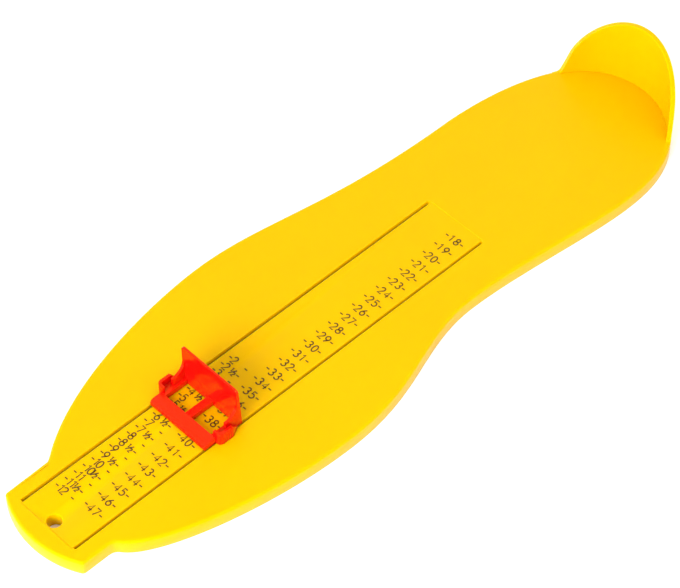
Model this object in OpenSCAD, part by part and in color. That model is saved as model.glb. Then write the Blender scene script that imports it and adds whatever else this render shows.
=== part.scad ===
// Foot measuring device: a foot-shaped plate with an upright heel stop, and a slider
// whose toe stop is pushed against the toes. Shoe sizes are read through its two windows.
// X runs across the plate, Y from the toe end to the heel, and Z up from the table.

/* [Plate] */
// Length from the tip of the tongue to the back of the heel stop
plate_len = 339.1; // [332:0.1:370]
// Height of the plate's turned-down edge
edge_h = 7; // [4.5:0.1:9]
// Thickness of the turned-down edge
edge_t = 1.8; // [1.2:0.1:3]
// Thickness of the plate's top
top_t = 2; // [1.6:0.1:2.5]

/* [Foot outline] */
// Reach of the outline's outer side at the ball of the foot
ball_out_w = 55.2; // [46:0.1:62]
// Distance of that place from the tip of the tongue
ball_out_at = 136.3; // [120:0.1:150]
// Reach of the outer side where the heel begins
side_out_w = 42.3; // [39:0.1:48]
// Distance of that place from the tip of the tongue
side_out_at = 262.8; // [240:0.1:275]
// Reach of the inner side at the ball of the foot
ball_in_w = 49.9; // [44:0.1:58]
// Distance of that place from the tip of the tongue
ball_in_at = 119.2; // [105:0.1:135]
// Reach of the inner side at the waist, under the arch of the foot
waist_w = 33.5; // [28:0.1:42]
// Distance of the waist from the tip of the tongue
waist_at = 201.2; // [185:0.1:215]
// Reach of the inner side at the heel
heel_in_w = 40.8; // [39:0.1:46]
// Distance of that place from the tip of the tongue
heel_in_at = 287.1; // [275:0.1:295]

/* [Tongue] */
// Width of the tongue at the toe end
tongue_w = 45.1; // [42:0.1:52]
// Sideways offset of the tongue from the middle of the slots
tongue_shift = 0.2; // [-1:0.1:1]
// Radius of the tongue's rounded end
tongue_end_r = 44; // [32:0.5:70]
// Distance from the tip to where the outer side leaves the tongue
tongue_out_at = 27.3; // [22:0.1:36]
// Distance from the tip to where the inner side leaves the tongue
tongue_in_at = 21; // [16:0.1:30]
// Rounding at the tongue's two corners
tongue_corner = 1; // [0.5:0.1:2.5]
// Rounding where each side leaves the tongue
tongue_root = 2.5; // [1:0.1:5]

/* [Heel stop] */
// Radius of the plate's heel end and of the stop's outer face
heel_r = 35.6; // [35:0.1:37]
// Sideways offset of the heel's middle
heel_x = 1.7; // [0:0.1:3]
// Height of the heel stop above the plate's top
stop_h = 32.9; // [30:0.1:36]
// Thickness of the heel stop's wall
stop_t = 2; // [1.5:0.1:3]
// How far the wall stands in from the plate's edge
stop_inset = 0.1; // [0.05:0.05:0.5]
// Radius of the heel stop's arched top, as seen from the front
arch_r = 29.4; // [27:0.1:30.5]
// Reach of the curve in which each flank runs out on the plate
flank_foot = 1.2; // [0.5:0.1:1.6]

/* [Scales and slots] */
// Distance from the middle to the centre line of each slot
slot_x = 15.2; // [14:0.1:17]
// Width of each slot
slot_w = 1.5; // [1.3:0.05:2]
// Distance from the tip of the tongue to the slots' toe ends
slot_from = 8.4; // [8:0.1:20]
// Length of each slot
slot_len = 217.4; // [150:0.1:230]
// Depth of the shallow strip that carries the scales
strip_depth = 0.2; // [0.1:0.05:0.4]
// How far the strip runs past the slots' ends
strip_lead = 0.6; // [0:0.1:1.5]
// Diameter of the hanging hole
hole_d = 6.1; // [4:0.1:8]
// Distance of the hanging hole from the tip of the tongue
hole_at = 11.3; // [11:0.1:20]
// Sideways offset of the hanging hole
hole_x = 0.5; // [-2:0.1:2]

/* [Slider] */
// Distance from the tip of the tongue to the slider's reading line
read_at = 85.1; // [40:0.1:200]
// Width of the slider's frame
frame_w = 31.2; // [31:0.1:35]
// Height of the frame above the plate
frame_h = 3; // [2.4:0.1:4]
// Distance from the reading line to the frame's front edge
frame_front = 11.8; // [10:0.1:16]
// Rounding of the frame's front edge
frame_round = 2; // [0.5:0.1:2.2]
// Running gap between the plate and the frame
run_gap = 0.15; // [0.05:0.05:0.4]
// Length of the windows
window_l = 11.5; // [8:0.1:13]
// Width of each window
window_w = 11.5; // [8:0.1:11.7]
// Width of the rib between the windows
rib_w = 3.2; // [2:0.1:4]
// Height of the toe stop above the plate
toe_h = 21; // [15:0.1:30]
// Distance from the reading line to the toe stop's window side
toe_at = 5.5; // [5:0.1:8]
// Thickness of the toe stop at its foot
toe_foot_t = 2.3; // [1.5:0.1:4]
// Thickness of the toe stop at its top
toe_tip_t = 0.9; // [0.6:0.1:1.5]
// Rounding of the toe stop's two upper corners
toe_corner = 1.4; // [0.5:0.1:3]

/* [Grips and legs] */
// Thickness of the slider's side walls
wall_t = 1.2; // [0.8:0.1:2]
// Height of the side walls beside the windows
wall_h = 6.8; // [5:0.1:8]
// Radius of the sweep from the side walls up to the toe stop
sweep_r = 6.2; // [4:0.1:7]
// How far each finger grip stands out from the frame
grip_out = 2.7; // [2:0.1:4]
// Length of each finger grip at its foot
grip_l = 8.8; // [7:0.1:11]
// How much shorter the grip is at its top, on its heel side
grip_fall = 2.2; // [0:0.1:3]
// Height of the finger grips
grip_h = 6.4; // [5:0.1:7.5]
// Distance from the reading line back to the middle of the grips
grip_back = 1.7; // [1:0.1:4]
// Corner radius of the grips
grip_r = 2.1; // [1:0.1:2.4]
// Radius of the fine ribs on the grips
ridge_r = 0.3; // [0.2:0.05:0.5]
// Spacing of the fine ribs
ridge_step = 1.1; // [0.9:0.1:2]
// Clearance on each side of a leg in its slot
leg_gap = 0.1; // [0.05:0.05:0.3]
// Length of each leg along the slot
leg_l = 8.4; // [5:0.1:10]
// Reach of the hook under the plate
hook_reach = 1; // [0.6:0.1:1.5]
// Height of the hook
hook_h = 1; // [0.7:0.1:1.2]
// Clearance between the hook and the plate's underside
hook_gap = 0.3; // [0.1:0.05:0.4]

/* [Hidden] */
$fn = 96;
through = 1;
curve_steps = 16;
corner_steps = 5;
arc_step = 2;
heel_at = plate_len - heel_r;
middle_x = (ball_in_w - ball_out_w) / 2;
frame_x = frame_w / 2;
grip_x = frame_x + grip_out - ridge_r / 2;
leg_t = slot_w - 2 * leg_gap;
hook_top = top_t + hook_gap;

// Directions in which the sides leave the tongue and meet the heel, in degrees from Y
lean_out = 39.3;
lean_in = 54.3;
turn_out = 53.3;
turn_in = 51.3;

// Lean of the heel stop's flanks, its turn round the heel, and the slant of a grip's heel side
flank_lean = 12;
arch_turn = 2.2;
grip_slant = 60;

// How long each curve holds its direction at its two ends, as a share of its run along Y
hold_tongue_out = 0.35;
hold_ball_out = [0.218, 0.278];
hold_side_out = [0.541, 0.1];
hold_heel_out = 0.397;
hold_tongue_in = 0.157;
hold_ball_in = [0.415, 0.46];
hold_waist = [0.351, 0.318];
hold_heel_side = [0.27, 0.394];
hold_heel_in = 0.363;

along_y = [0, 1];

// Points of a cubic curve after its first point
function cubic(a, b, c, d) = [
    for (i = [1 : curve_steps])
        let (t = i / curve_steps, u = 1 - t)
        u * u * u * a + 3 * t * u * u * b + 3 * t * t * u * c + t * t * t * d
];

// Points of a soft corner from a to c around the sharp corner b
function corner(a, b, c) = [
    for (i = [0 : corner_steps])
        let (t = i / corner_steps, u = 1 - t)
        u * u * a + 2 * t * u * b + t * t * c
];

// A smooth line through knots, each one [point, heading, hold behind, hold ahead]
function smooth(knots) = [
    for (i = [0 : len(knots) - 2])
        let (k = knots[i], next = knots[i + 1], run = next[0].y - k[0].y)
        each cubic(k[0], k[0] + k[1] * k[3] * run, next[0] - next[1] * next[2] * run, next[0])
];

// Points on a circle from one angle to another, in degrees from +Y towards +X
function round_end(centre, r, from, to) = [
    let (steps = ceil(abs(to - from) / arc_step))
    for (i = [0 : steps])
        let (a = from + (to - from) * i / steps)
        centre + r * [sin(a), cos(a)]
];

function mirrored(points) = [
    for (i = [len(points) - 1 : -1 : 0])
        [-points[i].x, points[i].y]
];

// One side of the outline, from the tongue to the heel, drawn towards +X and inset by t
function side(half, root_at, lean, hold, stations, centre_x, turn, heel_hold, t) =
    let (
        root = [half - t, root_at + t * tan(lean / 2)],
        ahead = [sin(lean), cos(lean)],
        start = root + tongue_root * ahead,
        r = heel_r - t,
        finish = [centre_x, heel_at] + r * [sin(turn), cos(turn)]
    )
    concat(
        corner(root - [0, tongue_root], root, start),
        smooth(concat(
            [[start, ahead, 0, hold]],
            [for (s = stations) [[s[0] - t, s[1]], along_y, s[2][0], s[2][1]]],
            [[finish, [-cos(turn), sin(turn)], heel_hold, 0]]
        ))
    );

function outer_side(t) = side(
    tongue_w / 2 - tongue_shift, tongue_out_at, lean_out, hold_tongue_out,
    [[ball_out_w, ball_out_at, hold_ball_out], [side_out_w, side_out_at, hold_side_out]],
    -heel_x, turn_out, hold_heel_out, t
);

function inner_side(t) = side(
    tongue_w / 2 + tongue_shift, tongue_in_at, lean_in, hold_tongue_in,
    [
        [ball_in_w, ball_in_at, hold_ball_in],
        [waist_w, waist_at, hold_waist],
        [heel_in_w, heel_in_at, hold_heel_side]
    ],
    heel_x, turn_in, hold_heel_in, t
);

// The rounded end of the tongue, from its outer to its inner side
function tongue_end(t) =
    let (
        r = tongue_end_r - t,
        half = tongue_w / 2 - t,
        reach = half - tongue_corner,
        low = tongue_end_r - sqrt(r * r - half * half),
        low_in = tongue_end_r - sqrt(r * r - reach * reach),
        swing = asin(reach / r),
        soft = [
            for (p = corner([reach, low_in], [half, low], [half, low + tongue_corner]))
                [tongue_shift + p.x, p.y]
        ]
    )
    concat(
        [for (p = mirrored(soft)) [p.x + 2 * tongue_shift, p.y]],
        round_end([tongue_shift, tongue_end_r], r, 180 + swing, 180 - swing),
        soft
    );

// The plate's outline, inset by t
function outline(t) = concat(
    tongue_end(t),
    inner_side(t),
    round_end([heel_x, heel_at], heel_r - t, turn_in, -turn_out),
    mirrored(outer_side(t))
);

// Moves a piece from the outline's axes to the middle of the whole object's footprint
module centred() {
    translate([-middle_x, -plate_len / 2, 0]) children();
}

// Draws a profile in Y and Z, and carries it across X, centred
module across(width) {
    translate([-width / 2, 0, 0])
        rotate([90, 0, 90])
        linear_extrude(width)
        children();
}

// The plate's top with its turned-down edge, hollow underneath
module shell() {
    difference() {
        union() {
            linear_extrude(edge_h) polygon(outline(0));
            translate([heel_x, heel_at, 0]) cylinder(r = heel_r, h = edge_h);
        }
        translate([0, 0, -through])
            linear_extrude(edge_h - top_t + through)
            polygon(outline(edge_t));
    }
}

// Front view of the heel stop: an arch on leaning flanks that run out on the plate
module arch() {
    arch_up = stop_h - arch_r;
    join = [arch_r * cos(flank_lean), arch_up + arch_r * sin(flank_lean)];
    sharp = [join.x + join.y * tan(flank_lean), 0];
    up = sharp + flank_foot * [-sin(flank_lean), cos(flank_lean)];
    out = sharp + [flank_foot, 0];
    flank = concat([join], corner(up, sharp, out), [[out.x, -top_t]]);
    translate([0, arch_up]) circle(r = arch_r);
    polygon(concat(flank, mirrored(flank)));
}

// The upright wall round the heel: a bent strip with an arched top
module heel_stop() {
    wall_r = heel_r - stop_inset;
    translate([heel_x, heel_at, edge_h])
        intersection() {
            translate([0, 0, -top_t])
                difference() {
                    cylinder(r = wall_r, h = top_t + stop_h);
                    translate([0, 0, -through])
                        cylinder(r = wall_r - stop_t, h = top_t + stop_h + 2 * through);
                }
            rotate([0, 0, arch_turn])
                translate([0, heel_r + through, 0])
                rotate([90, 0, 0])
                linear_extrude(heel_r + through)
                arch();
        }
}

module sole_plate() {
    strip_x = slot_x - slot_w / 2;
    color("gold")
        centred()
        difference() {
            union() {
                shell();
                heel_stop();
            }
            translate([hole_x, hole_at, -through])
                cylinder(d = hole_d, h = edge_h + 2 * through);
            for (x = [-slot_x, slot_x])
                translate([x - slot_w / 2, slot_from, -through])
                    cube([slot_w, slot_len, edge_h + 2 * through]);
            translate([-strip_x, slot_from - strip_lead, edge_h - strip_depth])
                cube([2 * strip_x, slot_len + 2 * strip_lead, strip_depth + through]);
        }
}

// Side view of the frame and the toe stop
module frame_profile() {
    bend = [frame_round - frame_front, frame_h - frame_round];
    polygon(concat(
        [[-frame_front, run_gap]],
        round_end(bend, frame_round, -90, 0),
        [
            [toe_at, frame_h],
            [toe_at, toe_h],
            [toe_at + toe_tip_t, toe_h],
            [toe_at + toe_foot_t, run_gap]
        ]
    ));
}

// Front view that rounds the toe stop's upper corners
module frame_front_view() {
    square_h = toe_h - toe_corner;
    polygon(concat(
        [[-frame_x, 0]],
        round_end([toe_corner - frame_x, square_h], toe_corner, -90, 0),
        round_end([frame_x - toe_corner, square_h], toe_corner, 0, 90),
        [[frame_x, 0]]
    ));
}

// Side view of a side wall, which sweeps up into the toe stop
module wall_profile() {
    sweep_at = [toe_at - sweep_r, wall_h + sweep_r];
    polygon(concat(
        [[sweep_at.x, run_gap]],
        round_end(sweep_at, sweep_r, 180, 90),
        [[toe_at + toe_tip_t, wall_h + sweep_r], [toe_at + toe_tip_t, run_gap]]
    ));
}

// Where the slanted side of a grip, inset by t, meets the frame
function grip_meet(t) =
    let (r = grip_r - t, x = grip_x - grip_r + r * sin(grip_slant))
    grip_l / 2 - grip_r + r * cos(grip_slant) + (x - frame_x) * tan(grip_slant);

// Plan of a grip that bulges towards +X, inset by t
module grip_plan(t) {
    x = grip_x - grip_r;
    y = grip_l / 2 - grip_r;
    foot = frame_x - wall_t;
    polygon(concat(
        [[foot, grip_meet(t)], [frame_x, grip_meet(t)]],
        round_end([x, y], grip_r - t, grip_slant, 90),
        round_end([x, -y], grip_r - t, 90, 180),
        [[foot, t - grip_l / 2]]
    ));
}

// Side view of a grip, which slopes down at its heel side
module grip_profile() {
    end = grip_l / 2;
    polygon([
        [-end, run_gap],
        [-end, grip_h],
        [end - grip_fall, grip_h],
        [grip_meet(0), run_gap]
    ]);
}

// A finger grip: a wall that bulges out round a small tray, with fine upright ribs
module grip() {
    ridges = floor((grip_l - 2 * grip_r) / ridge_step / 2);
    intersection() {
        union() {
            difference() {
                linear_extrude(grip_h) grip_plan(0);
                translate([0, 0, frame_h]) linear_extrude(grip_h) grip_plan(wall_t);
            }
            for (i = [-ridges : ridges])
                translate([grip_x - ridge_r / 2, i * ridge_step, 0])
                    cylinder(r = ridge_r, h = grip_h, $fn = 24);
        }
        translate([grip_x, 0, 0]) across(2 * (grip_out + wall_t)) grip_profile();
    }
}

// A leg that drops through the slot and hooks under the plate
module leg() {
    x = slot_x - leg_t / 2;
    translate([0, leg_l / 2, 0])
        rotate([90, 0, 0])
        linear_extrude(leg_l)
        polygon([
            [x, frame_h - run_gap],
            [x, -hook_top - hook_h],
            [x + leg_t, -hook_top - hook_h],
            [x + leg_t + hook_reach, -hook_top - hook_h / 2],
            [x + leg_t + hook_reach, -hook_top],
            [x + leg_t, -hook_top],
            [x + leg_t, frame_h - run_gap]
        ]);
}

// One side of the slider, drawn towards +X
module flank() {
    translate([0, -grip_back, 0]) {
        grip();
        leg();
    }
    translate([frame_x - wall_t / 2, 0, 0]) across(wall_t) wall_profile();
}

module slider() {
    color("orangered")
        centred()
        translate([0, read_at, edge_h]) {
            difference() {
                intersection() {
                    across(frame_w) frame_profile();
                    translate([0, frame_front, 0])
                        rotate([90, 0, 0])
                        linear_extrude(2 * frame_front)
                        frame_front_view();
                }
                for (x = [rib_w / 2, -rib_w / 2 - window_w])
                    translate([x, toe_at - window_l, -through])
                        cube([window_w, window_l, frame_h + 2 * through]);
            }
            flank();
            mirror([1, 0, 0]) flank();
        }
}

sole_plate();
slider();
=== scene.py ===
# Foot measuring device: a yellow foot-shaped plate with a heel stop, printed shoe-size scales
# and a glossy red slider that is read through its two windows.
import bpy
import bmesh
import math
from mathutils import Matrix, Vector


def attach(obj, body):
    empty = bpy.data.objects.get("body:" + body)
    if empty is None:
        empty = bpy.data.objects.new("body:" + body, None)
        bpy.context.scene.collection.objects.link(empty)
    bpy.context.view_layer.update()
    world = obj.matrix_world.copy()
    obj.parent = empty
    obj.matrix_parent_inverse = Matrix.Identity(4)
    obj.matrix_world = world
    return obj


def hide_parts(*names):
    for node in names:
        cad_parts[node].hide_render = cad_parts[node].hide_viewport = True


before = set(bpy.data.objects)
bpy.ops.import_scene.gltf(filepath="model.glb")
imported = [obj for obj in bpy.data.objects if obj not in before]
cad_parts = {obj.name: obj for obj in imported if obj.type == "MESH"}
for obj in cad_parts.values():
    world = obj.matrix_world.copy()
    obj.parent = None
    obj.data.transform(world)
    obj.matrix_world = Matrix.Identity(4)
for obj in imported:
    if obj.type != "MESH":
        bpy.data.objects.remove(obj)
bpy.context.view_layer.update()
mm = 0.001


def newObject(name, mesh):
    thing = bpy.data.objects.new(name, mesh)
    bpy.context.scene.collection.objects.link(thing)
    return thing


def meshFrom(name, bm):
    mesh = bpy.data.meshes.new(name)
    bm.to_mesh(mesh)
    bm.free()
    return newObject(name, mesh)


def baked(thing, name):  # the evaluated result as a plain mesh, with no modifiers left
    graph = bpy.context.evaluated_depsgraph_get()
    mesh = bpy.data.meshes.new_from_object(thing.evaluated_get(graph))
    mesh.name = name
    thing.modifiers.clear()
    thing.data = mesh
    thing.name = name
    return thing


def lofted(name, rings):  # a closed solid through rings of equal length, with flat ends
    bm = bmesh.new()
    loops = [[bm.verts.new(p) for p in ring] for ring in rings]
    count = len(loops[0])
    for a, b in zip(loops, loops[1:]):
        for i in range(count):
            j = (i + 1) % count
            bm.faces.new((a[i], a[j], b[j], b[i]))
    bm.faces.new(list(reversed(loops[0])))
    bm.faces.new(loops[-1])
    bmesh.ops.recalc_face_normals(bm, faces=bm.faces)
    return meshFrom(name, bm)


def combine(thing, other, how):
    m = thing.modifiers.new(how, "BOOLEAN")
    m.operation = how
    m.solver = "EXACT"
    m.object = other
    baked(thing, thing.name)
    bpy.data.objects.remove(other)


def smoothBy(thing, degrees):
    thing.data.shade_smooth()
    thing.data.set_sharp_from_angle(angle=math.radians(degrees))


def newTree(name, inputs):
    tree = bpy.data.node_groups.new(name, "GeometryNodeTree")
    tree.interface.new_socket("Geometry", in_out="INPUT", socket_type="NodeSocketGeometry")
    for label, kind, value in inputs:
        socket = tree.interface.new_socket(label, in_out="INPUT", socket_type=kind)
        if value is not None:
            socket.default_value = value
    tree.interface.new_socket("Geometry", in_out="OUTPUT", socket_type="NodeSocketGeometry")
    tree.nodes.new("NodeGroupOutput")
    return tree, tree.nodes.new("NodeGroupInput").outputs


def feed(tree, socket, value):
    if isinstance(value, bpy.types.NodeSocket):
        tree.links.new(value, socket)
    else:
        socket.default_value = value


def sums(tree, op, *values):  # one maths node
    n = tree.nodes.new("ShaderNodeMath")
    n.operation = op
    for socket, value in zip(n.inputs, values):
        feed(tree, socket, value)
    return n.outputs[0]


def runTree(thing, tree, values):
    m = thing.modifiers.new(tree.name, "NODES")
    m.node_group = tree
    for item in tree.interface.items_tree:
        if item.in_out == "INPUT" and item.name in values:
            m[item.identifier] = values[item.name]


def finishTree(tree, shape):  # makes the result real and gives it its material
    real = tree.nodes.new("GeometryNodeRealizeInstances")
    paint = tree.nodes.new("GeometryNodeSetMaterial")
    tree.links.new(shape, real.inputs[0])
    tree.links.new(real.outputs[0], paint.inputs["Geometry"])
    tree.links.new(tree.nodes["Group Input"].outputs["Material"], paint.inputs["Material"])
    tree.links.new(paint.outputs[0], tree.nodes["Group Output"].inputs[0])


# the two plastics and the ink
plasticLooks = {
    "yellow": {
        "colour": (0.66, 0.375, 0.0), "deep": (0.65, 0.36, 0.0), "grain": 900,
        "rough": 0.36, "gloss": 0.2, "tint": (1.0, 0.8, 0.03),
        "glow": 0.7, "reach": (0.004, 0.0025, 0.0001),
    },
    "red": {
        "colour": (0.60, 0.003, 0.002), "deep": (0.55, 0.002, 0.001), "grain": 700,
        "rough": 0.13, "gloss": 0.4, "tint": (1.0, 1.0, 0.1),
        "glow": 0.4, "reach": (0.003, 0.0003, 0.0002),
    },
}
mouldFinish = {
    "cloudScale": 14, "cloudDetail": 3, "deepUpTo": 0.25, "fullFrom": 0.6,
    "grainDetail": 2, "smoother": 0.04, "rougher": 0.06, "bump": 0.05, "bumpDepth": 0.00005,
}
inkLook = {
    "thick": (0.05, 0.02, 0.001), "thin": (0.16, 0.07, 0.002), "wearScale": 1500,
    "rough": 0.55, "gloss": 0.2,
}


def mouldedPlastic(name, look):
    mat = bpy.data.materials.new(name)
    mat.use_nodes = True
    nodes, links = mat.node_tree.nodes, mat.node_tree.links
    shader = nodes["Principled BSDF"]
    where = nodes.new("ShaderNodeTexCoord")
    cloud = nodes.new("ShaderNodeTexNoise")  # slow drift of the pigment
    cloud.inputs["Scale"].default_value = mouldFinish["cloudScale"]
    cloud.inputs["Detail"].default_value = mouldFinish["cloudDetail"]
    links.new(where.outputs["Object"], cloud.inputs["Vector"])
    tint = nodes.new("ShaderNodeValToRGB")
    tint.color_ramp.elements[0].position = mouldFinish["deepUpTo"]
    tint.color_ramp.elements[0].color = (*look["deep"], 1)
    tint.color_ramp.elements[1].position = mouldFinish["fullFrom"]
    tint.color_ramp.elements[1].color = (*look["colour"], 1)
    links.new(cloud.outputs["Fac"], tint.inputs["Fac"])
    links.new(tint.outputs["Color"], shader.inputs["Base Color"])
    grain = nodes.new("ShaderNodeTexNoise")  # fine tooth of the mould
    grain.inputs["Scale"].default_value = look["grain"]
    grain.inputs["Detail"].default_value = mouldFinish["grainDetail"]
    links.new(where.outputs["Object"], grain.inputs["Vector"])
    spread = nodes.new("ShaderNodeMapRange")
    spread.inputs["To Min"].default_value = look["rough"] - mouldFinish["smoother"]
    spread.inputs["To Max"].default_value = look["rough"] + mouldFinish["rougher"]
    links.new(grain.outputs["Fac"], spread.inputs["Value"])
    links.new(spread.outputs["Result"], shader.inputs["Roughness"])
    bump = nodes.new("ShaderNodeBump")
    bump.inputs["Strength"].default_value = mouldFinish["bump"]
    bump.inputs["Distance"].default_value = mouldFinish["bumpDepth"]
    links.new(grain.outputs["Fac"], bump.inputs["Height"])
    links.new(bump.outputs["Normal"], shader.inputs["Normal"])
    shader.inputs["Specular IOR Level"].default_value = look["gloss"]
    shader.inputs["Specular Tint"].default_value = (*look["tint"], 1)
    shader.inputs["Subsurface Weight"].default_value = look["glow"]  # light comes through the thin walls
    shader.inputs["Subsurface Radius"].default_value = look["reach"]
    shader.inputs["Subsurface Scale"].default_value = 1
    return mat


def printInk(name):
    mat = bpy.data.materials.new(name)
    mat.use_nodes = True
    nodes, links = mat.node_tree.nodes, mat.node_tree.links
    shader = nodes["Principled BSDF"]
    where = nodes.new("ShaderNodeTexCoord")
    wear = nodes.new("ShaderNodeTexNoise")  # thin and thick places of the ink
    wear.inputs["Scale"].default_value = inkLook["wearScale"]
    links.new(where.outputs["Object"], wear.inputs["Vector"])
    tint = nodes.new("ShaderNodeValToRGB")
    tint.color_ramp.elements[0].color = (*inkLook["thick"], 1)
    tint.color_ramp.elements[1].color = (*inkLook["thin"], 1)
    links.new(wear.outputs["Fac"], tint.inputs["Fac"])
    links.new(tint.outputs["Color"], shader.inputs["Base Color"])
    shader.inputs["Roughness"].default_value = inkLook["rough"]
    shader.inputs["Specular IOR Level"].default_value = inkLook["gloss"]
    return mat


yellowPlastic = mouldedPlastic("yellowPlastic", plasticLooks["yellow"])
redPlastic = mouldedPlastic("redPlastic", plasticLooks["red"])
scaleInk = printInk("scaleInk")
print("materials ready")

past = 1.0  # how far a cutter runs past the faces that it cuts, in mm
softShare = 0.3  # place of the middle point on a softened edge
smoothAngle = 32  # edges that turn by less than this look smooth

# sole plate: sizes in mm, measured from the tongue's tip
plate = {
    "length": 339.1, "edgeHeight": 7.0, "edgeWall": 1.8, "topWall": 2.25, "wallDraft": 0.1,
    "topRound": 1.2, "topSteps": 6, "topBand": 0.25, "rimRound": 0.4,
    "underBand": 0.7, "underBlend": [(0.25, 0.0), (0.06, 0.08), (0.0, 0.3)],
    "tongueWidth": 45.1, "tongueShift": 0.2, "tongueRadius": 44.0, "tongueCorner": 1.0, "tongueRoot": 2.5,
    "heelRadius": 35.6, "heelX": 1.7, "curveSteps": 36, "arcStep": 1.25, "cornerSteps": 6,
    # each side leaves the tongue at its root, passes its stations and turns into the heel;
    # a station is its reach, its distance from the tip, and the hold behind and ahead of it
    "outer": {
        "root": 27.3, "lean": 39.3, "hold": 0.35,
        "stations": [(55.2, 136.3, 0.218, 0.278), (42.3, 262.8, 0.541, 0.1)],
        "turn": 53.3, "heelHold": 0.397,
    },
    "inner": {
        "root": 21.0, "lean": 54.3, "hold": 0.157,
        "stations": [
            (49.9, 119.2, 0.415, 0.46), (33.5, 201.2, 0.351, 0.318), (40.8, 287.1, 0.27, 0.394),
        ],
        "turn": 51.3, "heelHold": 0.363,
    },
}
heelAt = plate["length"] - plate["heelRadius"]
middleX = (plate["inner"]["stations"][0][0] - plate["outer"]["stations"][0][0]) / 2
middleY = plate["length"] / 2


def place(x, y, z):
    return Vector(((x - middleX) * mm, (y - middleY) * mm, z * mm))  # from the tongue's tip to the frame


def cubic(a, b, c, d, steps):
    points = []
    for i in range(1, steps + 1):
        t = i / steps
        u = 1 - t
        points.append(u ** 3 * a + 3 * t * u * u * b + 3 * t * t * u * c + t ** 3 * d)
    return points


def softCorner(a, b, c):
    steps = plate["cornerSteps"]
    points = []
    for i in range(steps + 1):
        t = i / steps
        u = 1 - t
        points.append(u * u * a + 2 * t * u * b + t * t * c)
    return points


def arc(centre, radius, start, stop, step=None):
    count = max(2, math.ceil(abs(stop - start) / (step or plate["arcStep"])))
    points = []
    for i in range(count + 1):
        a = math.radians(start + (stop - start) * i / count)
        points.append(centre + radius * Vector((math.sin(a), math.cos(a))))
    return points


def mirrored(points):
    return [Vector((-p.x, p.y)) for p in reversed(points)]


def sideLine(side, half, heelX, inset):  # from the tongue to the heel, drawn towards +X
    lean = math.radians(side["lean"])
    turn = math.radians(side["turn"])
    radius = plate["heelRadius"] - inset
    root = Vector((half - inset, side["root"] + inset * math.tan(lean / 2)))
    ahead = Vector((math.sin(lean), math.cos(lean)))
    start = root + plate["tongueRoot"] * ahead
    finish = Vector((heelX, heelAt)) + radius * Vector((math.sin(turn), math.cos(turn)))
    knots = [(start, ahead, 0, side["hold"])]
    for reach, at, behind, beyond in side["stations"]:
        knots.append((Vector((reach - inset, at)), Vector((0, 1)), behind, beyond))
    knots.append((finish, Vector((-math.cos(turn), math.sin(turn))), side["heelHold"], 0))
    points = softCorner(root - Vector((0, plate["tongueRoot"])), root, start)
    for (p, dirP, _, hold), (q, dirQ, back, _) in zip(knots, knots[1:]):
        run = q.y - p.y
        points += cubic(p, p + dirP * hold * run, q - dirQ * back * run, q, plate["curveSteps"])
    return points


def tongueEnd(inset):
    radius = plate["tongueRadius"] - inset
    half = plate["tongueWidth"] / 2 - inset
    reach = half - plate["tongueCorner"]
    low = plate["tongueRadius"] - math.sqrt(radius ** 2 - half ** 2)
    lowIn = plate["tongueRadius"] - math.sqrt(radius ** 2 - reach ** 2)
    swing = math.degrees(math.asin(reach / radius))
    corner = Vector((half, low))
    soft = softCorner(Vector((reach, lowIn)), corner, corner + Vector((0, plate["tongueCorner"])))
    tip = arc(Vector((0, plate["tongueRadius"])), radius, 180 + swing, 180 - swing)
    shift = Vector((plate["tongueShift"], 0))
    return [p + shift for p in mirrored(soft) + tip[1:-1] + soft]


def outline(inset):
    half = plate["tongueWidth"] / 2
    inner = sideLine(plate["inner"], half + plate["tongueShift"], plate["heelX"], inset)
    outer = sideLine(plate["outer"], half - plate["tongueShift"], -plate["heelX"], inset)
    heel = arc(
        Vector((plate["heelX"], heelAt)), plate["heelRadius"] - inset,
        plate["inner"]["turn"], -plate["outer"]["turn"],
    )
    return tongueEnd(inset) + inner + heel[1:-1] + mirrored(outer)


# slots, printed strip and hanging hole
scaleArea = {
    "slotX": 15.2, "slotWidth": 1.4, "slotFrom": 8.4, "slotLength": 217.4,
    "slotBreak": 0.05, "slotCorner": 0.25, "slotLip": 0.01,
    "stripDepth": 0.2, "stripLead": 0.6, "stripOverlap": 0.3,
    "holeX": 0.5, "holeAt": 11.3, "holeRadius": 3.05, "holeBreak": 0.25,
    "collarWall": 1.3, "collarFoot": 0.3, "collarBreak": 0.2, "slotArcStep": 15, "holeArcStep": 5,
}


def plateShell():
    top = plate["edgeHeight"]
    under = top - plate["topWall"]
    wall, soft, rim = plate["edgeWall"], plate["topRound"], plate["rimRound"]
    foot, middle = wall - plate["wallDraft"], rim * softShare
    profile = [(wall + plate["underBand"], under)]
    profile += [(wall + across, under - down) for across, down in plate["underBlend"]]
    profile += [(foot, rim), (foot - middle, middle), (foot - rim, 0)]
    profile += [(rim, 0), (middle, middle), (0, rim), (0, top - soft)]
    for i in range(1, plate["topSteps"] + 1):
        a = math.radians(90 * i / plate["topSteps"])
        profile.append((soft * (1 - math.cos(a)), top - soft + soft * math.sin(a)))
    profile.append((soft + plate["topBand"], top))
    rings = [[place(p.x, p.y, z) for p in outline(inset)] for inset, z in profile]
    return lofted("solePlate", rings)


def slotOutline(x, width):  # a long slot with four small corner rounds
    r = scaleArea["slotCorner"]
    low = scaleArea["slotFrom"] + r
    high = scaleArea["slotFrom"] + scaleArea["slotLength"] - r
    points = []
    for side, y, start in ((-1, low, 270), (1, low, 180), (1, high, 90), (-1, high, 0)):
        middle = Vector((x + side * (width / 2 - r), y))
        points += arc(middle, r, start, start - 90, scaleArea["slotArcStep"])
    return points


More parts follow.
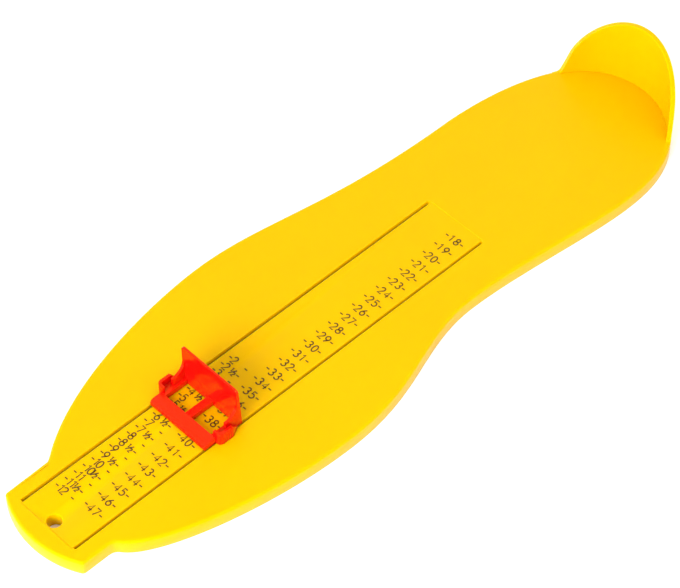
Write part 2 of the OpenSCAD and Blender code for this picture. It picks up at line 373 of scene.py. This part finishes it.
def slotCutter(x):
    top = plate["edgeHeight"]
    width, soft = scaleArea["slotWidth"], scaleArea["slotBreak"]
    floor = top - scaleArea["stripDepth"]
    # the shoulder ends a little above the strip's floor, so no two faces share a plane
    steps = [(width, -past), (width, floor - soft)]
    steps += [(width + soft, floor + scaleArea["slotLip"]), (width + soft, top + past)]
    return lofted("slotCutter", [[place(p.x, p.y, z) for p in slotOutline(x, w)] for w, z in steps])


def roundHole(name, steps):  # a turned solid on the hole's axis, through each (radius, height)
    centre = Vector((scaleArea["holeX"], scaleArea["holeAt"]))
    rings = []
    for r, z in steps:
        points = arc(centre, r, 0, 360, scaleArea["holeArcStep"])[:-1]
        rings.append([place(p.x, p.y, z) for p in points])
    return lofted(name, rings)


def holeCutter():
    top = plate["edgeHeight"] - scaleArea["stripDepth"]
    r, soft = scaleArea["holeRadius"], scaleArea["holeBreak"]
    middle = soft * softShare
    return roundHole("holeCutter", [
        (r, -past), (r, top - soft), (r + middle, top - middle), (r + soft, top), (r + soft, top + past)])


def holeCollar():  # the tube that carries the hole down through the hollow underside
    r, foot = scaleArea["holeRadius"] + scaleArea["collarWall"], scaleArea["collarFoot"]
    soft = scaleArea["collarBreak"]
    return roundHole("holeCollar", [
        (r - soft, foot), (r, foot + soft), (r, plate["edgeHeight"] - plate["topWall"] / 2)])


def stripCutter():
    top = plate["edgeHeight"]
    half = scaleArea["slotX"] - scaleArea["slotWidth"] / 2 + scaleArea["stripOverlap"]
    low = scaleArea["slotFrom"] - scaleArea["stripLead"]
    high = scaleArea["slotFrom"] + scaleArea["slotLength"] + scaleArea["stripLead"]
    depth = scaleArea["stripDepth"]

    def frameRing(grow, z):
        wide, near, far = half + grow, low - grow, high + grow
        return [place(x, y, z) for x, y in ((-wide, near), (wide, near), (wide, far), (-wide, far))]
    return lofted("stripCutter", [
        frameRing(0, top - depth), frameRing(depth, top), frameRing(depth, top + past)])


# heel stop: sizes in mm above the plate's top, angles in degrees
heelStop = {
    "height": 32.9, "wall": 2.0, "archRadius": 29.4, "lean": 12.0, "turn": -2.2,
    "footBlend": 4.0, "footDip": 0.1, "sink": 1.6, "inset": 0.02, "spare": 1.5,
    "columns": 160, "rows": 24, "rimBevel": 0.55, "rimSegments": 3, "rimAngle": 50,
}


def heelStopTree():  # a sheet bent round the heel under an arch with leaning flanks
    inputs = [(label, "NodeSocketFloat", 0.0) for label in (
        "Radius", "Centre X", "Centre Y", "Turn", "Swing", "Arch Radius", "Arch Up",
        "Join", "Flank Foot", "Flank Slope", "Plate Z", "Foot Z", "Dip", "Blend")]
    tree, given = newTree("heelStopSheet", inputs + [("Material", "NodeSocketMaterial", None)])
    sheet = tree.nodes.new("GeometryNodeMeshGrid")
    sheet.inputs["Size X"].default_value = 1
    sheet.inputs["Size Y"].default_value = 1
    sheet.inputs["Vertices X"].default_value = heelStop["columns"] + 1
    sheet.inputs["Vertices Y"].default_value = heelStop["rows"] + 1
    spot = tree.nodes.new("GeometryNodeInputPosition")
    split = tree.nodes.new("ShaderNodeSeparateXYZ")
    tree.links.new(spot.outputs[0], split.inputs[0])
    # columns crowd towards both ends, where the flanks stand upright
    share = sums(tree, "SINE", sums(tree, "MULTIPLY", split.outputs[0], math.pi))
    swing = sums(tree, "MULTIPLY", share, given["Swing"])
    across = sums(tree, "MULTIPLY", sums(tree, "SINE", swing), given["Radius"])
    off = sums(tree, "ABSOLUTE", across)
    reach = sums(tree, "POWER", given["Arch Radius"], 2.0)
    square = sums(tree, "SUBTRACT", reach, sums(tree, "MULTIPLY", off, off))
    arch = sums(tree, "ADD", given["Arch Up"], sums(tree, "SQRT", sums(tree, "MAXIMUM", square, 0.0)))
    flank = sums(tree, "MULTIPLY", sums(tree, "SUBTRACT", given["Flank Foot"], off), given["Flank Slope"])
    onArch = sums(tree, "LESS_THAN", off, given["Join"])
    crown = sums(tree, "MULTIPLY_ADD", onArch, sums(tree, "SUBTRACT", arch, flank), flank)
    dip = sums(tree, "MULTIPLY", given["Dip"], -1.0)
    crown = sums(tree, "ADD", given["Plate Z"], sums(tree, "SMOOTH_MAX", crown, dip, given["Blend"]))
    up = sums(tree, "ADD", split.outputs[1], 0.5)
    z = sums(tree, "MULTIPLY_ADD", sums(tree, "SUBTRACT", crown, given["Foot Z"]), up, given["Foot Z"])
    turn = sums(tree, "ADD", swing, given["Turn"])
    x = sums(tree, "MULTIPLY_ADD", sums(tree, "SINE", turn), given["Radius"], given["Centre X"])
    y = sums(tree, "MULTIPLY_ADD", sums(tree, "COSINE", turn), given["Radius"], given["Centre Y"])
    bend = tree.nodes.new("GeometryNodeSetPosition")
    joined = tree.nodes.new("ShaderNodeCombineXYZ")
    for socket, value in zip(joined.inputs, (x, y, z)):
        tree.links.new(value, socket)
    tree.links.new(sheet.outputs["Mesh"], bend.inputs["Geometry"])
    tree.links.new(joined.outputs[0], bend.inputs["Position"])
    finishTree(tree, bend.outputs[0])
    return tree


def heelStopWall():
    radius = plate["heelRadius"] - heelStop["inset"]
    lean = math.radians(heelStop["lean"])
    archUp = heelStop["height"] - heelStop["archRadius"]
    join = heelStop["archRadius"] * math.cos(lean)
    flankFoot = join + (archUp + heelStop["archRadius"] * math.sin(lean)) * math.tan(lean)
    centre = place(plate["heelX"], heelAt, 0)
    wall = newObject("heelStopWall", bpy.data.meshes.new("heelStopWall"))
    runTree(wall, heelStopTree(), {
        "Radius": radius * mm, "Centre X": centre.x, "Centre Y": centre.y,
        "Turn": math.radians(heelStop["turn"]),
        "Swing": math.asin((flankFoot + heelStop["spare"]) / radius),
        "Arch Radius": heelStop["archRadius"] * mm, "Arch Up": archUp * mm, "Join": join * mm,
        "Flank Foot": flankFoot * mm, "Flank Slope": 1 / math.tan(lean),
        "Plate Z": plate["edgeHeight"] * mm, "Foot Z": (plate["edgeHeight"] - heelStop["sink"]) * mm,
        "Dip": heelStop["footDip"] * mm, "Blend": heelStop["footBlend"] * mm, "Material": yellowPlastic,
    })
    baked(wall, "heelStopWall")
    thick = wall.modifiers.new("wallThickness", "SOLIDIFY")
    thick.thickness = heelStop["wall"] * mm
    thick.offset = 1
    thick.use_even_offset = True
    soft = wall.modifiers.new("rimRounding", "BEVEL")
    soft.width = heelStop["rimBevel"] * mm
    soft.segments = heelStop["rimSegments"]
    soft.limit_method = "ANGLE"
    soft.angle_limit = math.radians(heelStop["rimAngle"])
    return baked(wall, "heelStopWall")


solePlate = plateShell()
combine(solePlate, heelStopWall(), "UNION")
combine(solePlate, holeCollar(), "UNION")
combine(solePlate, stripCutter(), "DIFFERENCE")
for x in (-scaleArea["slotX"], scaleArea["slotX"]):
    combine(solePlate, slotCutter(x), "DIFFERENCE")
combine(solePlate, holeCutter(), "DIFFERENCE")
smoothBy(solePlate, smoothAngle)
solePlate.data.materials.clear()
solePlate.data.materials.append(yellowPlastic)
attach(solePlate, "plate")
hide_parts("sole_plate")
print("sole plate ready:", len(solePlate.data.polygons), "faces")

# slider: the construction's own shape with softened edges
sliderFinish = {"edgeRound": 0.22, "segments": 3, "angle": 30, "weld": 0.002, "flatAngle": 1}


def sliderMoulding():
    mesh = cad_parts["slider"].data.copy()
    mesh.name = "sizeSlider"
    bm = bmesh.new()
    bm.from_mesh(mesh)
    bmesh.ops.remove_doubles(bm, verts=bm.verts, dist=sliderFinish["weld"] * mm)
    flat = math.radians(sliderFinish["flatAngle"])
    bmesh.ops.dissolve_limit(bm, angle_limit=flat, verts=bm.verts, edges=bm.edges)
    bm.to_mesh(mesh)
    bm.free()
    body = newObject("sizeSlider", mesh)
    soft = body.modifiers.new("softEdges", "BEVEL")
    soft.width = sliderFinish["edgeRound"] * mm
    soft.segments = sliderFinish["segments"]
    soft.limit_method = "ANGLE"
    soft.angle_limit = math.radians(sliderFinish["angle"])
    baked(body, "sizeSlider")
    smoothBy(body, smoothAngle)
    return body


sizeSlider = sliderMoulding()
sizeSlider.data.materials.clear()
sizeSlider.data.materials.append(redPlastic)
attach(sizeSlider, "slider")
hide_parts("slider")
print("slider ready:", len(sizeSlider.data.polygons), "faces")

# printed scales: places in mm from the middle of the slots and from the tongue's tip
scales = {
    "firstSize": 18, "lastSize": 47, "marksAt": 25.1, "pitch": 6.6667, "tensX": 5.3, "onesX": 8.3,
    "topHalves": 24, "halfCount": 21, "halfAt": 22.88, "halfPitch": 4.4444,
    "halfTensX": -9.3, "halfOnesX": -7.5, "halfMarkX": -5.6,
    "digitHeight": 3.5, "stroke": 0.56, "ink": 0.04,
    "dashLength": 1.5, "wholeDashes": (2.75, 10.8), "halfDashes": (-11.5, -2.8),
    # the small one, bar and two of a half, as shares of the digits' height
    "smallDigit": 0.55, "smallAside": 0.26, "smallUp": 0.2, "barTilt": 0.45,
}


def ring(cx, cy, rx, ry, start=0, stop=360, steps=20):
    points = []
    for i in range(steps + 1):
        a = math.radians(start + (stop - start) * i / steps)
        points.append((cx + rx * math.cos(a), cy + ry * math.sin(a)))
    return points


# strokes of a digit that is 1 high, in a cell as wide as digitCell
digitCell = 0.56
digitStrokes = {
    "0": [ring(0.28, 0.5, 0.27, 0.5)],
    "1": [[(0.1, 0.78), (0.32, 1), (0.32, 0)]],
    "2": [ring(0.28, 0.73, 0.26, 0.27, 170, -35, 12) + [(0.0, 0.0), (0.56, 0.0)]],
    "3": [ring(0.27, 0.76, 0.24, 0.24, 150, -80, 12) + ring(0.27, 0.26, 0.28, 0.26, 80, -150, 14)],
    "4": [[(0.42, 0), (0.42, 1), (0.0, 0.3), (0.58, 0.3)]],
    "5": [[(0.5, 1), (0.1, 1), (0.06, 0.56)] + ring(0.26, 0.32, 0.29, 0.32, 110, -145, 14)],
    "6": [[(0.44, 1.0), (0.1, 0.55)] + ring(0.28, 0.3, 0.27, 0.3, 145, -215, 20)],
    "7": [[(0.0, 1), (0.56, 1), (0.2, 0)]],
    "8": [ring(0.28, 0.76, 0.22, 0.24), ring(0.28, 0.26, 0.28, 0.26)],
    "9": [[(0.12, 0.0), (0.46, 0.45)] + ring(0.28, 0.7, 0.27, 0.3, -35, 325, 20)],
}


def glyph(char, cx, cy, height):
    strokes = []
    for stroke in digitStrokes[char]:
        strokes.append([((x - digitCell / 2) * height + cx, (y - 0.5) * height + cy) for x, y in stroke])
    return strokes


def halfGlyph(cx, cy):
    size = scales["digitHeight"]
    aside, up, tilt = size * scales["smallAside"], size * scales["smallUp"], size * scales["barTilt"]
    small = size * scales["smallDigit"]
    strokes = glyph("1", cx - aside, cy + up, small)
    strokes += [[(cx - aside, cy - tilt), (cx + aside, cy + tilt)]]
    return strokes + glyph("2", cx + aside, cy - up, small)


def scaleStrokes():
    high = scales["digitHeight"]
    lines = []
    for size in range(scales["firstSize"], scales["lastSize"] + 1):
        y = scales["marksAt"] + (scales["lastSize"] - size) * scales["pitch"]
        lines += glyph(str(size)[0], scales["tensX"], y, high)
        lines += glyph(str(size)[1], scales["onesX"], y, high)
    for step in range(scales["halfCount"]):  # 12 down to 2 by halves
        whole, half = divmod(scales["topHalves"] - step, 2)
        y = scales["halfAt"] + step * scales["halfPitch"]
        text = str(whole)
        lines += glyph(text[0], scales["halfTensX"], y, high)
        if len(text) > 1:
            lines += glyph(text[1], scales["halfOnesX"], y, high)
        if half:
            lines += halfGlyph(scales["halfMarkX"], y)
    return lines


def inkTree():  # sweeps a flat strip of ink along every stroke
    tree, given = newTree("inkLines", [
        ("Width", "NodeSocketFloat", 0.0), ("Thickness", "NodeSocketFloat", 0.0),
        ("Material", "NodeSocketMaterial", None)])
    strip = tree.nodes.new("GeometryNodeCurvePrimitiveQuadrilateral")
    tree.links.new(given["Width"], strip.inputs["Width"])
    tree.links.new(given["Thickness"], strip.inputs["Height"])
    sweep = tree.nodes.new("GeometryNodeCurveToMesh")
    sweep.inputs["Fill Caps"].default_value = True
    tree.links.new(given["Geometry"], sweep.inputs["Curve"])
    tree.links.new(strip.outputs[0], sweep.inputs["Profile Curve"])
    finishTree(tree, sweep.outputs[0])
    return tree


def dashTree():  # a column of short dashes at an even pitch
    tree, given = newTree("scaleDashes", [
        ("Count", "NodeSocketInt", 1), ("Pitch", "NodeSocketFloat", 0.0),
        ("Start", "NodeSocketVector", None), ("Dash", "NodeSocketVector", None),
        ("Material", "NodeSocketMaterial", None)])
    row = tree.nodes.new("GeometryNodeMeshLine")
    step = tree.nodes.new("ShaderNodeCombineXYZ")
    dash = tree.nodes.new("GeometryNodeMeshCube")
    onto = tree.nodes.new("GeometryNodeInstanceOnPoints")
    tree.links.new(given["Count"], row.inputs["Count"])
    tree.links.new(given["Start"], row.inputs["Start Location"])
    tree.links.new(given["Pitch"], step.inputs["Y"])
    tree.links.new(step.outputs[0], row.inputs["Offset"])
    tree.links.new(given["Dash"], dash.inputs["Size"])
    tree.links.new(row.outputs[0], onto.inputs["Points"])
    tree.links.new(dash.outputs[0], onto.inputs["Instance"])
    finishTree(tree, onto.outputs[0])
    return tree


def inkLevel():  # middle of the ink that lies on the strip
    return plate["edgeHeight"] - scaleArea["stripDepth"] + scales["ink"] / 2


def printedNumbers():
    curve = bpy.data.curves.new("printedNumbers", "CURVE")
    curve.dimensions = "3D"
    for points in scaleStrokes():
        spline = curve.splines.new("POLY")
        spline.points.add(len(points) - 1)
        for p, (x, y) in zip(spline.points, points):
            p.co = (*place(x, y, inkLevel()), 1)
    numbers = newObject("printedNumbers", curve)
    runTree(numbers, inkTree(), {
        "Width": scales["stroke"] * mm, "Thickness": scales["ink"] * mm, "Material": scaleInk})
    graph = bpy.context.evaluated_depsgraph_get()
    mesh = bpy.data.meshes.new_from_object(numbers.evaluated_get(graph))
    bpy.data.objects.remove(numbers)
    return newObject("printedNumbers", mesh)


def dashColumn(tree, x, start, pitch, count):
    column = newObject("dashColumn", bpy.data.meshes.new("dashColumn"))
    runTree(column, tree, {
        "Count": count, "Pitch": pitch * mm, "Start": place(x, start, inkLevel()),
        "Dash": (scales["dashLength"] * mm, scales["stroke"] * mm, scales["ink"] * mm),
        "Material": scaleInk,
    })
    return baked(column, "dashColumn")


def printedDashes():
    tree = dashTree()
    count = scales["lastSize"] - scales["firstSize"] + 1
    rows = [(x, scales["marksAt"], scales["pitch"], count) for x in scales["wholeDashes"]]
    rows += [(x, scales["halfAt"], scales["halfPitch"], scales["halfCount"]) for x in scales["halfDashes"]]
    bm = bmesh.new()
    for row in rows:
        column = dashColumn(tree, *row)
        bm.from_mesh(column.data)
        bpy.data.objects.remove(column)
    dashes = meshFrom("printedDashes", bm)
    dashes.data.materials.append(scaleInk)
    return dashes


for ink in (printedNumbers(), printedDashes()):
    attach(ink, "plate")
print("scales ready")

# stage, light and camera
stageLook = {
    "floorSize": 6.0, "floorColour": (0.97, 0.97, 0.97), "floorRough": 0.9, "worldStrength": 1.05,
    # azimuth and elevation in degrees, distance and size in metres, power in watts
    "lamps": {
        "frontSoftbox": (14.0, 30.0, 1.5, 0.9, 31.0),
        "sideSoftbox": (115.0, 60.0, 1.5, 0.9, 5.5),
    },
}
photoView = {  # solved from the scale marks, in degrees and mm from the frame's origin
    "azimuth": 45.88, "elevation": 49.71, "distance": 1088.6, "target": (-2.24, -4.57, 7.0),
    "lens": 144.28, "sensor": 36, "sight": 50,
}


def towards(azimuth, elevation):  # unit vector from the object, azimuth from -Y towards +X
    a, e = math.radians(azimuth), math.radians(elevation)
    return Vector((math.sin(a) * math.cos(e), -math.cos(a) * math.cos(e), math.sin(e)))


def paleStage():
    half = stageLook["floorSize"] / 2
    mesh = bpy.data.meshes.new("floor")
    corners = [(-half, -half, 0), (half, -half, 0), (half, half, 0), (-half, half, 0)]
    mesh.from_pydata(corners, [], [(0, 1, 2, 3)])
    floor = newObject("floor", mesh)
    mat = bpy.data.materials.new("paleFloor")
    mat.use_nodes = True
    shader = mat.node_tree.nodes["Principled BSDF"]
    shader.inputs["Base Color"].default_value = (*stageLook["floorColour"], 1)
    shader.inputs["Roughness"].default_value = stageLook["floorRough"]
    mesh.materials.append(mat)
    world = bpy.data.worlds.new("studio")
    world.use_nodes = True
    sky = world.node_tree.nodes["Background"]
    sky.inputs["Strength"].default_value = stageLook["worldStrength"]
    sky.inputs["Color"].default_value = (1, 1, 1, 1)
    bpy.context.scene.world = world


def softLight(name, azimuth, elevation, distance, size, power):
    lamp = bpy.data.lights.new(name, "AREA")
    lamp.energy = power
    lamp.size = size
    lamp.shape = "DISK"
    back = towards(azimuth, elevation)
    thing = newObject(name, lamp)
    thing.location = back * distance
    thing.rotation_mode = "QUATERNION"
    thing.rotation_quaternion = back.to_track_quat("Z", "Y")


def photoCamera():
    back = towards(photoView["azimuth"], photoView["elevation"])
    lens = bpy.data.cameras.new("photoCamera")
    lens.lens = photoView["lens"]
    lens.sensor_width = photoView["sensor"]
    lens.sensor_fit = "HORIZONTAL"
    lens.clip_end = photoView["sight"]  # metres
    eye = newObject("photoCamera", lens)
    eye.location = Vector(photoView["target"]) * mm + back * photoView["distance"] * mm
    eye.rotation_mode = "QUATERNION"
    eye.rotation_quaternion = back.to_track_quat("Z", "Y")
    bpy.context.scene.camera = eye


paleStage()
for name, settings in stageLook["lamps"].items():
    softLight(name, *settings)
photoCamera()
bpy.context.scene.view_settings.view_transform = "Standard"

print("stage ready")
